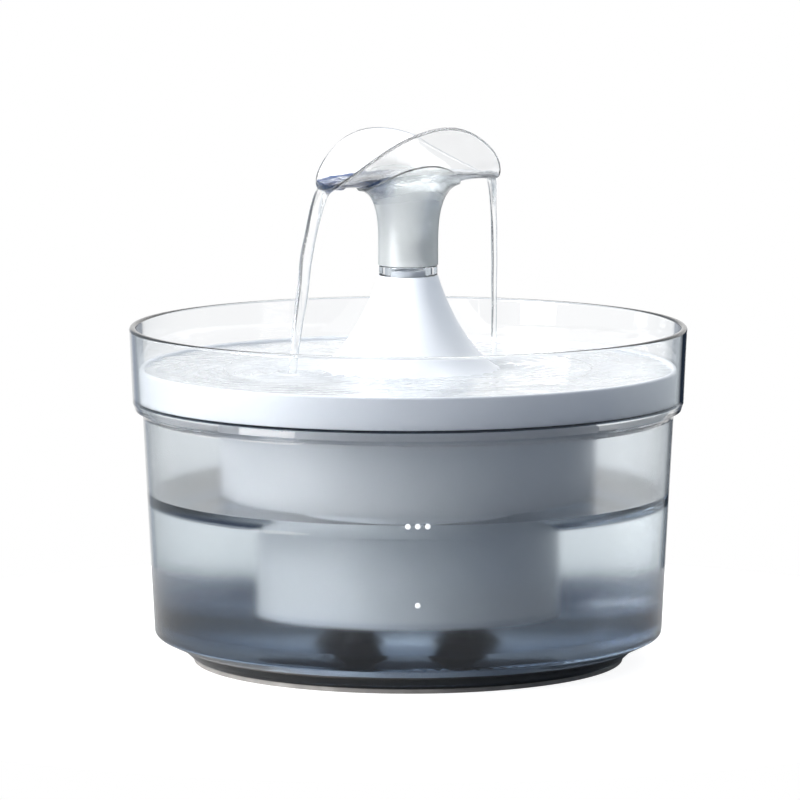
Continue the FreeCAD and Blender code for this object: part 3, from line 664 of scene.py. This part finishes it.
def smooth_path(corners, count):
    """Points on a Catmull-Rom curve through tuples of any length."""
    padded = [corners[0]] + corners + [corners[-1]]
    spans = len(corners) - 1

    def between(a, b, c, d, t):
        bent = (2 * a - 5 * b + 4 * c - d) * t * t + (3 * b - a - 3 * c + d) * t ** 3
        return 0.5 * (2 * b + (c - a) * t + bent)

    made = []
    for i in range(count):
        at = i / (count - 1) * spans
        k = min(int(at), spans - 1)
        made.append(tuple(between(*values, at - k) for values in zip(*padded[k:k + 4])))
    return made


def stream(name, side, corners, wobble, material):
    """Falling water from a lip. Corners are (reach, height, width, thickness, turn of the section)."""
    along, _, _ = LIPS[side]
    beside = Vector((-along.y, along.x, 0))
    rows = smooth_path(corners, STREAM_ROWS)
    centres = [along * (row[0] * MM) + Vector((0, 0, row[1] * MM)) for row in rows]
    points = []
    for i, (centre, (_, _, width, thickness, turned)) in enumerate(zip(centres, rows)):
        run = (centres[min(i + 1, STREAM_ROWS - 1)] - centres[max(i - 1, 0)]).normalized()
        wide = (beside - run * beside.dot(run)).normalized()
        thick = run.cross(wide)
        turn = math.radians(turned)
        first = wide * math.cos(turn) + thick * math.sin(turn)
        second = thick * math.cos(turn) - wide * math.sin(turn)
        place = centre * STREAM_DRIFT_SCALE
        drift = Vector((noise.noise(place), noise.noise(place + Vector((9, 0, 0))), 0))
        middle = centre + drift * wobble * MM
        for k in range(STREAM_SIDES):
            angle = 2 * math.pi * k / STREAM_SIDES
            out = first * (math.cos(angle) * width / 2 * MM) + second * (math.sin(angle) * thickness / 2 * MM)
            swell = STREAM_SWELL * noise.noise((middle + out) * STREAM_SWELL_SCALE)
            twist = STREAM_TWIST * math.sin(2 * angle + i * STREAM_TWIST_STEP)
            points.append(middle + out * (1 + swell + twist))
    last = (STREAM_ROWS - 1) * STREAM_SIDES
    faces = [tuple(range(STREAM_SIDES)), tuple(range(last, last + STREAM_SIDES))]
    for start in range(0, last, STREAM_SIDES):
        for k in range(STREAM_SIDES):
            a, b = start + k, start + (k + 1) % STREAM_SIDES
            faces.append((a, b, b + STREAM_SIDES, a + STREAM_SIDES))
    piece = add_piece(name, mesh_of(name, points, faces), "head", material)
    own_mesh(piece)


def streams():
    """Water that falls from both lips: sheets that narrow, turn and waver on their way to the tray."""
    water = water_finish("stream_water", (0.97, 0.99, 1.0), 90.0, 0.25 * MM, bend=1.2, cover=0.7)
    left_top = LIPS[LEFT][2] / MM
    right_top = LIPS[RIGHT][2] / MM
    stream("left_stream", LEFT, [
        (30.5, left_top + 1.2, 12, 3.2, 0),
        (35.5, left_top + 1.1, 12, 3.8, 0),
        (38.8, left_top - 2.5, 11.0, 5.2, 10),
        (42.0, 183, 8.6, 5.0, 22),
        (45.0, 170, 6.2, 4.6, 34),
        (47.8, 149, 5.4, 4.2, 44),
        (50.4, 128, 4.4, 3.4, 52),
        (51.4, 119, 4.8, 4.0, 56),
    ], 0.6, water)
    stream("right_stream", RIGHT, [
        (30.0, right_top + 0.8, 13, 2.0, 0),
        (34.6, right_top + 0.7, 13, 2.0, 0),
        (37.4, right_top - 2.5, 11.0, 2.4, 8),
        (38.2, 183, 6.0, 2.4, 20),
        (38.5, 165, 3.8, 2.4, 32),
        (38.5, 145, 3.2, 2.2, 40),
        (38.2, 120, 3.0, 2.6, 45),
    ], 0.3, water)


def tray_ripple(x, y):
    """Height of the tray's water above its level: rings where the streams land, and a light chop."""
    height = ripples(Vector((x, y, 0)), TRAY_RIPPLES)
    for fall_x, fall_y, strength in LANDINGS:
        gap = math.hypot(x - fall_x, y - fall_y)
        height += strength * math.cos(gap / RING_LENGTH * 2 * math.pi) * math.exp(-gap / RING_FADE)
    return height


def ring_water(name, body, inner_r, outer_r, bottom_z, material):
    """Ring of water with a rippled top and hidden sides that sink into the plastic round it."""
    def section(turn):
        top = []
        for r in evenly(outer_r, inner_r, 60):
            lift = tray_ripple(r * math.cos(turn), r * math.sin(turn))
            top.append((r, TRAY_WATER_Z + lift))
        return [(inner_r, bottom_z), (outer_r, bottom_z)] + top

    mesh = spun(name, section, steps=288, closed=True)
    piece = add_piece(name, mesh, body, material)
    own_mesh(piece)


def tray_waters():
    """Water in the dish and on the cone's flange, in two rings that part where those pieces do."""
    water = water_finish("tray_water", (0.93, 0.95, 0.965), 60.0, 0.4 * MM, clear=0.45)
    flange_z = top_at("fountain_cone", FLANGE_R, 0).z
    hub_z = top_at("drinking_tray", HUB_R, 0).z
    dish_z = top_at("drinking_tray", DISH_R, 0).z
    cone_r = wall_r("fountain_cone", TRAY_WATER_Z)
    tray_r = wall_r("drinking_tray", TRAY_WATER_Z, DISH_R)
    ring_water("dish_water", "tray", SEAM_R, tray_r + SINK, dish_z - SINK, water)
    ring_water("flange_water", "cone", cone_r - SINK, SEAM_R, flange_z - SINK, water)


def soft_section(inner_r, outer_r, low, high, edge_r, rows):
    """Outline of a slab's section, from its inner bottom edge round to its inner top edge."""
    corners = [
        (outer_r, low, -90), (outer_r, high, 0),
        (inner_r, high, 90), (inner_r, low, 180),
    ]
    points = []
    for r, z, first in corners if inner_r > 0 else corners[:2]:
        centre_r = r - edge_r if r == outer_r else r + edge_r
        centre_z = z - edge_r if z == high else z + edge_r
        for turn in evenly(math.radians(first), math.radians(first + 90), 5):
            points.append((centre_r + edge_r * math.cos(turn), centre_z + edge_r * math.sin(turn)))
    if inner_r == 0:
        points = [(0.0, low)] + points + [(0.0, high)]
    else:
        points.append(points[0])
    filled = []
    for (r0, z0), (r1, z1) in zip(points, points[1:]):
        count = max(1, round(math.hypot(r1 - r0, z1 - z0) / (outer_r - inner_r) * rows))
        filled += [(r0 + (r1 - r0) * i / count, z0 + (z1 - z0) * i / count) for i in range(count)]
    return filled if inner_r > 0 else filled + [points[-1]]


def soft_slab(node, body, material, inner_r, reach_at, edge_r, cell, depth, steps, rows):
    """Foam, fleece or granules in the place of a CAD solid, with a surface pitted by cells of a size."""
    low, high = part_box(node)
    centre = Vector(((low.x + high.x) / 2, (low.y + high.y) / 2, 0))

    def section(turn):
        inner = inner_r + FIT if inner_r > 0 else 0
        return soft_section(inner, reach_at(turn) - FIT, low.z + FIT, high.z - FIT, edge_r, rows)

    mesh = spun(node + "_soft", section, steps, closed=inner_r > 0)
    moves = []
    for vertex in mesh.vertices:
        nearest = noise.voronoi(vertex.co / cell)[0][0]
        drift = noise.noise(vertex.co / (cell * 9))
        moves.append(vertex.co + centre - vertex.normal * depth * (0.7 * nearest + 0.3 * (drift + 0.5)))
    for vertex, place in zip(mesh.vertices, moves):
        vertex.co = place
    piece = add_piece(node + "_soft", mesh, body, material)
    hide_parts(node)


def soft_pieces():
    """The cartridge's coarse foam, carbon and fleece, and the foam block before the pump."""
    low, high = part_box("sponge_pad")
    bore_r = cast("sponge_pad", (0, 0, low.z + 1 * MM), (1, 0, 0)).x

    def pad_reach(turn):
        return high.x

    coarse = foam("coarse_foam", (0.25, 0.28, 0.30), (0.05, 0.06, 0.07), 700.0)
    soft_slab("sponge_pad", "cartridge", coarse, bore_r, pad_reach,
              edge_r=1.5 * MM, cell=1.6 * MM, depth=0.5 * MM, steps=300, rows=60)
    soft_slab("carbon_bed", "cartridge", carbon(), bore_r, pad_reach,
              edge_r=0.8 * MM, cell=1.8 * MM, depth=0.9 * MM, steps=420, rows=90)
    soft_slab("polish_pad", "cartridge", fleece(), bore_r, pad_reach,
              edge_r=1.2 * MM, cell=3.0 * MM, depth=0.5 * MM, steps=300, rows=60)

    block_low, block_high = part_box("prefilter_sponge")
    centre = (block_low + block_high) / 2

    def block_reach(turn):
        outside = centre + Vector((math.cos(turn), math.sin(turn), 0)) * OUTSIDE_R
        return (cast("prefilter_sponge", outside, centre - outside) - centre).length

    dark = foam("prefilter_foam", (0.12, 0.13, 0.14), (0.02, 0.02, 0.025), 700.0)
    soft_slab("prefilter_sponge", "pump", dark, 0, block_reach,
              edge_r=1.5 * MM, cell=1.6 * MM, depth=0.5 * MM, steps=240, rows=30)


def level_marks():
    """Printed dots that follow the curve of the bowl's wall."""
    work = bmesh.new()
    for x, z in MARKS:
        place = front_at("reservoir", x * MM, z * MM)
        normal = Vector((place.x, place.y, 0)).normalized()
        across = Vector((-normal.y, normal.x, 0))
        rims = []
        # A dot's side is straight for most of its thickness and then drawn in a little.
        for depth, share in ((0.0, 1.0), (MARK_T * 0.7, 1.0), (MARK_T, 0.9)):
            ring = []
            for k in range(MARK_SIDES):
                angle = 2 * math.pi * k / MARK_SIDES
                spot = place + across * (MARK_R * share * math.cos(angle))
                spot.z += MARK_R * share * math.sin(angle)
                ring.append(work.verts.new(front_at("reservoir", spot.x, spot.z) + normal * depth))
            rims.append(ring)
        for low, high in zip(rims, rims[1:]):
            for k in range(MARK_SIDES):
                after = (k + 1) % MARK_SIDES
                work.faces.new((low[k], low[after], high[after], high[k]))
        work.faces.new(rims[-1])
        work.faces.new(list(reversed(rims[0])))
    add_piece("level_marks", finish_mesh("level_marks", work), "bowl", mark_paint())


def dress_nodes():
    """Give every CAD node its material."""
    white = white_plastic()
    black = black_plastic()
    dark_rubber = rubber("black_rubber", (0.015, 0.016, 0.018), (0.05, 0.05, 0.055))
    finishes = {
        "reservoir": bowl_finish(),
        "pump_cover": white_plastic("house_plastic", (0.90, 0.925, 0.95)),
        "filter_basket": white_plastic("basket_plastic", (0.83, 0.86, 0.90), 0.6, 8 * MM),
        "spout_head": head_finish(),
        "neck_ring": ring_finish(),
        "neck_sleeve": frosted(),
        "non_slip_ring": rubber("ring_rubber", (0.20, 0.19, 0.18), (0.30, 0.29, 0.27)),
        "rotor_magnet": ferrite(),
        "pump_shaft": ceramic(),
    }
    for name in ("suction_cups", "cable_gland", "volute_seal", "outlet_seal", "shaft_bushes"):
        finishes[name] = dark_rubber
    for name in ("pump_body", "volute_cover", "intake_cap", "flow_dial", "impeller"):
        finishes[name] = black
    for name, node in nodes.items():
        material = finishes.get(name, white)
        if not node.material_slots:
            node.data.materials.append(material)
        for slot in node.material_slots:
            slot.material = material


def lamp(name, place, size, power):
    """Round area lamp that faces the object."""
    data = bpy.data.lights.new(name, "AREA")
    data.shape = "DISK"
    data.size = size
    data.energy = power
    made = bpy.data.objects.new(name, data)
    made.location = place
    made.rotation_euler = (LAMP_AIM - Vector(place)).to_track_quat("-Z", "Y").to_euler()
    bpy.context.scene.collection.objects.link(made)


def background():
    """World: white to the camera; to all else a dark studio, white behind, overhead and on the left."""
    world = bpy.data.worlds.new("studio")
    world.use_nodes = True
    bpy.context.scene.world = world
    world.node_tree.nodes.clear()
    look = Nodes(world.node_tree)
    direction = look.node("ShaderNodeTexCoord").outputs["Generated"]

    def step(name, ends):
        return look.spread(look.axis(direction, name), *ends)

    behind = look.times(step("Y", BEHIND_Y), step("Z", BEHIND_Z))
    off_strip = look.join("MAXIMUM", step("Z", UNDER_STRIP_Z), step("Z", OVER_STRIP_Z))
    far_right = look.times(off_strip, step("X", WINDOW_FAR_RIGHT_X))
    right_end = look.join("MAXIMUM", step("X", WINDOW_RIGHT_X), far_right)
    window = look.times(look.times(step("X", WINDOW_LEFT_X), right_end), behind)
    panels = look.times(look.join("MAXIMUM", step("X", RIGHT_PANEL_X), step("X", LEFT_PANEL_X)), behind)
    bright = look.times(step("X", BRIGHT_X), step("Z", BRIGHT_Z))
    dark = look.times(step("Y", DARK_Y), step("X", DARK_X))
    colour = look.blend(dark, ELSEWHERE_GLOW, DARK_GLOW)
    colour = look.blend(panels, colour, PANEL_GLOW)
    colour = look.blend(bright, colour, BRIGHT_GLOW)
    colour = look.blend(step("Z", CEILING_Z), colour, CEILING_GLOW)
    colour = look.blend(window, colour, WINDOW_GLOW)
    studio = look.node("ShaderNodeBackground")
    look.link(colour, studio.inputs["Color"])
    white = look.node("ShaderNodeBackground")
    white.inputs["Color"].default_value = (1, 1, 1, 1)
    to_camera = look.node("ShaderNodeLightPath").outputs["Is Camera Ray"]
    output = look.node("ShaderNodeOutputWorld")
    look.link(look.choose(to_camera, studio.outputs[0], white.outputs[0]), output.inputs["Surface"])


def stage_material(name):
    """Material with no nodes yet, for a piece of the studio, and its nodes."""
    made = bpy.data.materials.new(name)
    made.use_nodes = True
    made.node_tree.nodes.clear()
    return made, Nodes(made.node_tree)


def add_stage(name, points, faces, material):
    """Adds a piece of the studio, which isn't part of the object."""
    mesh = bpy.data.meshes.new(name)
    mesh.from_pydata(points, [], faces)
    mesh.materials.append(material)
    made = bpy.data.objects.new(name, mesh)
    bpy.context.scene.collection.objects.link(made)
    return made


def floor():
    """Round table top that keeps a soft shadow and is white to the camera by its own glow.

    Seen through clear pieces it has a dark glow instead, a little paler under the object.
    """
    made, look = stage_material("floor")
    path = look.node("ShaderNodeLightPath")
    diffuse = look.node("ShaderNodeBsdfDiffuse")
    diffuse.inputs["Color"].default_value = (*FLOOR_COLOUR, 1)
    glow = look.node("ShaderNodeEmission")
    glow.inputs["Color"].default_value = (*FLOOR_GLOW, 1)
    look.link(path.outputs["Is Camera Ray"], glow.inputs["Strength"])
    lit = look.node("ShaderNodeAddShader")
    look.link(diffuse.outputs[0], lit.inputs[0])
    look.link(glow.outputs[0], lit.inputs[1])
    reach = look.node("ShaderNodeVectorMath", operation="LENGTH")
    look.link(look.node("ShaderNodeTexCoord").outputs["Object"], reach.inputs[0])
    out = look.node("ShaderNodeMapRange")
    for index, value in zip((1, 2), FLOOR_SHADE_R):
        out.inputs[index].default_value = value
    look.link(reach.outputs["Value"], out.inputs[0])
    through = look.node("ShaderNodeEmission")
    look.link(look.blend(out.outputs[0], FLOOR_UNDER, FLOOR_ROUND), through.inputs["Color"])
    output = look.node("ShaderNodeOutputMaterial")
    seen_through = path.outputs["Is Transmission Ray"]
    look.link(look.choose(seen_through, lit.outputs[0], through.outputs[0]), output.inputs["Surface"])
    turns = [2 * math.pi * i / FLOOR_SIDES for i in range(FLOOR_SIDES)]
    rim = [(FLOOR_R * math.cos(turn), FLOOR_R * math.sin(turn), 0) for turn in turns]
    add_stage("floor", rim, [tuple(range(FLOOR_SIDES))], made)


def card():
    """Stands behind the bowl and gives its clear wall and water something banded to bend."""
    made, look = stage_material("card")
    share = look.node("ShaderNodeMath", operation="DIVIDE")
    share.inputs[1].default_value = CARD_TOP_Z
    look.link(look.axis(look.node("ShaderNodeTexCoord").outputs["Object"], "Z"), share.inputs[0])
    ramp = look.node("ShaderNodeValToRGB")
    stops = ramp.color_ramp.elements
    while len(stops) < len(CARD_BANDS):
        stops.new(1.0)
    for stop, (z, colour) in zip(stops, CARD_BANDS):
        stop.position = z / CARD_TOP_Z
        stop.color = (*colour, 1)
    look.link(share.outputs[0], ramp.inputs[0])
    glow = look.node("ShaderNodeEmission")
    look.link(ramp.outputs[0], glow.inputs["Color"])
    output = look.node("ShaderNodeOutputMaterial")
    look.link(glow.outputs[0], output.inputs["Surface"])
    row = [(CARD_R * math.cos(turn), CARD_R * math.sin(turn)) for turn in evenly(*CARD_SPAN, CARD_STEPS)]
    points = [(x, y, z) for z in (CARD_FOOT_Z, CARD_TOP_Z) for x, y in row]
    faces = [(k, k + 1, k + 1 + CARD_STEPS, k + CARD_STEPS) for k in range(CARD_STEPS - 1)]
    strip = add_stage("card", points, faces, made)
    strip.visible_camera = False
    strip.visible_diffuse = False
    strip.visible_glossy = False
    strip.visible_shadow = False


def camera():
    """Camera at the photograph's viewing angle."""
    data = bpy.data.cameras.new("camera")
    data.lens = CAMERA_LENS
    data.sensor_width = CAMERA_SENSOR
    data.clip_end = CAMERA_REACH
    made = bpy.data.objects.new("camera", data)
    made.location = CAMERA_PLACE
    made.rotation_euler = (math.pi / 2 - CAMERA_PITCH, 0, 0)
    bpy.context.scene.collection.objects.link(made)
    bpy.context.scene.camera = made


bpy.context.scene.view_settings.view_transform = "Standard"
camera()
background()
floor()
card()
for lamp_name, (lamp_place, lamp_size, lamp_power) in LAMPS.items():
    lamp(lamp_name, lamp_place, lamp_size, lamp_power)

dress_nodes()
LIPS = {side: lip_shape(side) for side in (LEFT, RIGHT)}
bowl_water()
head_water()
streams()
tray_waters()
level_marks()
soft_pieces()
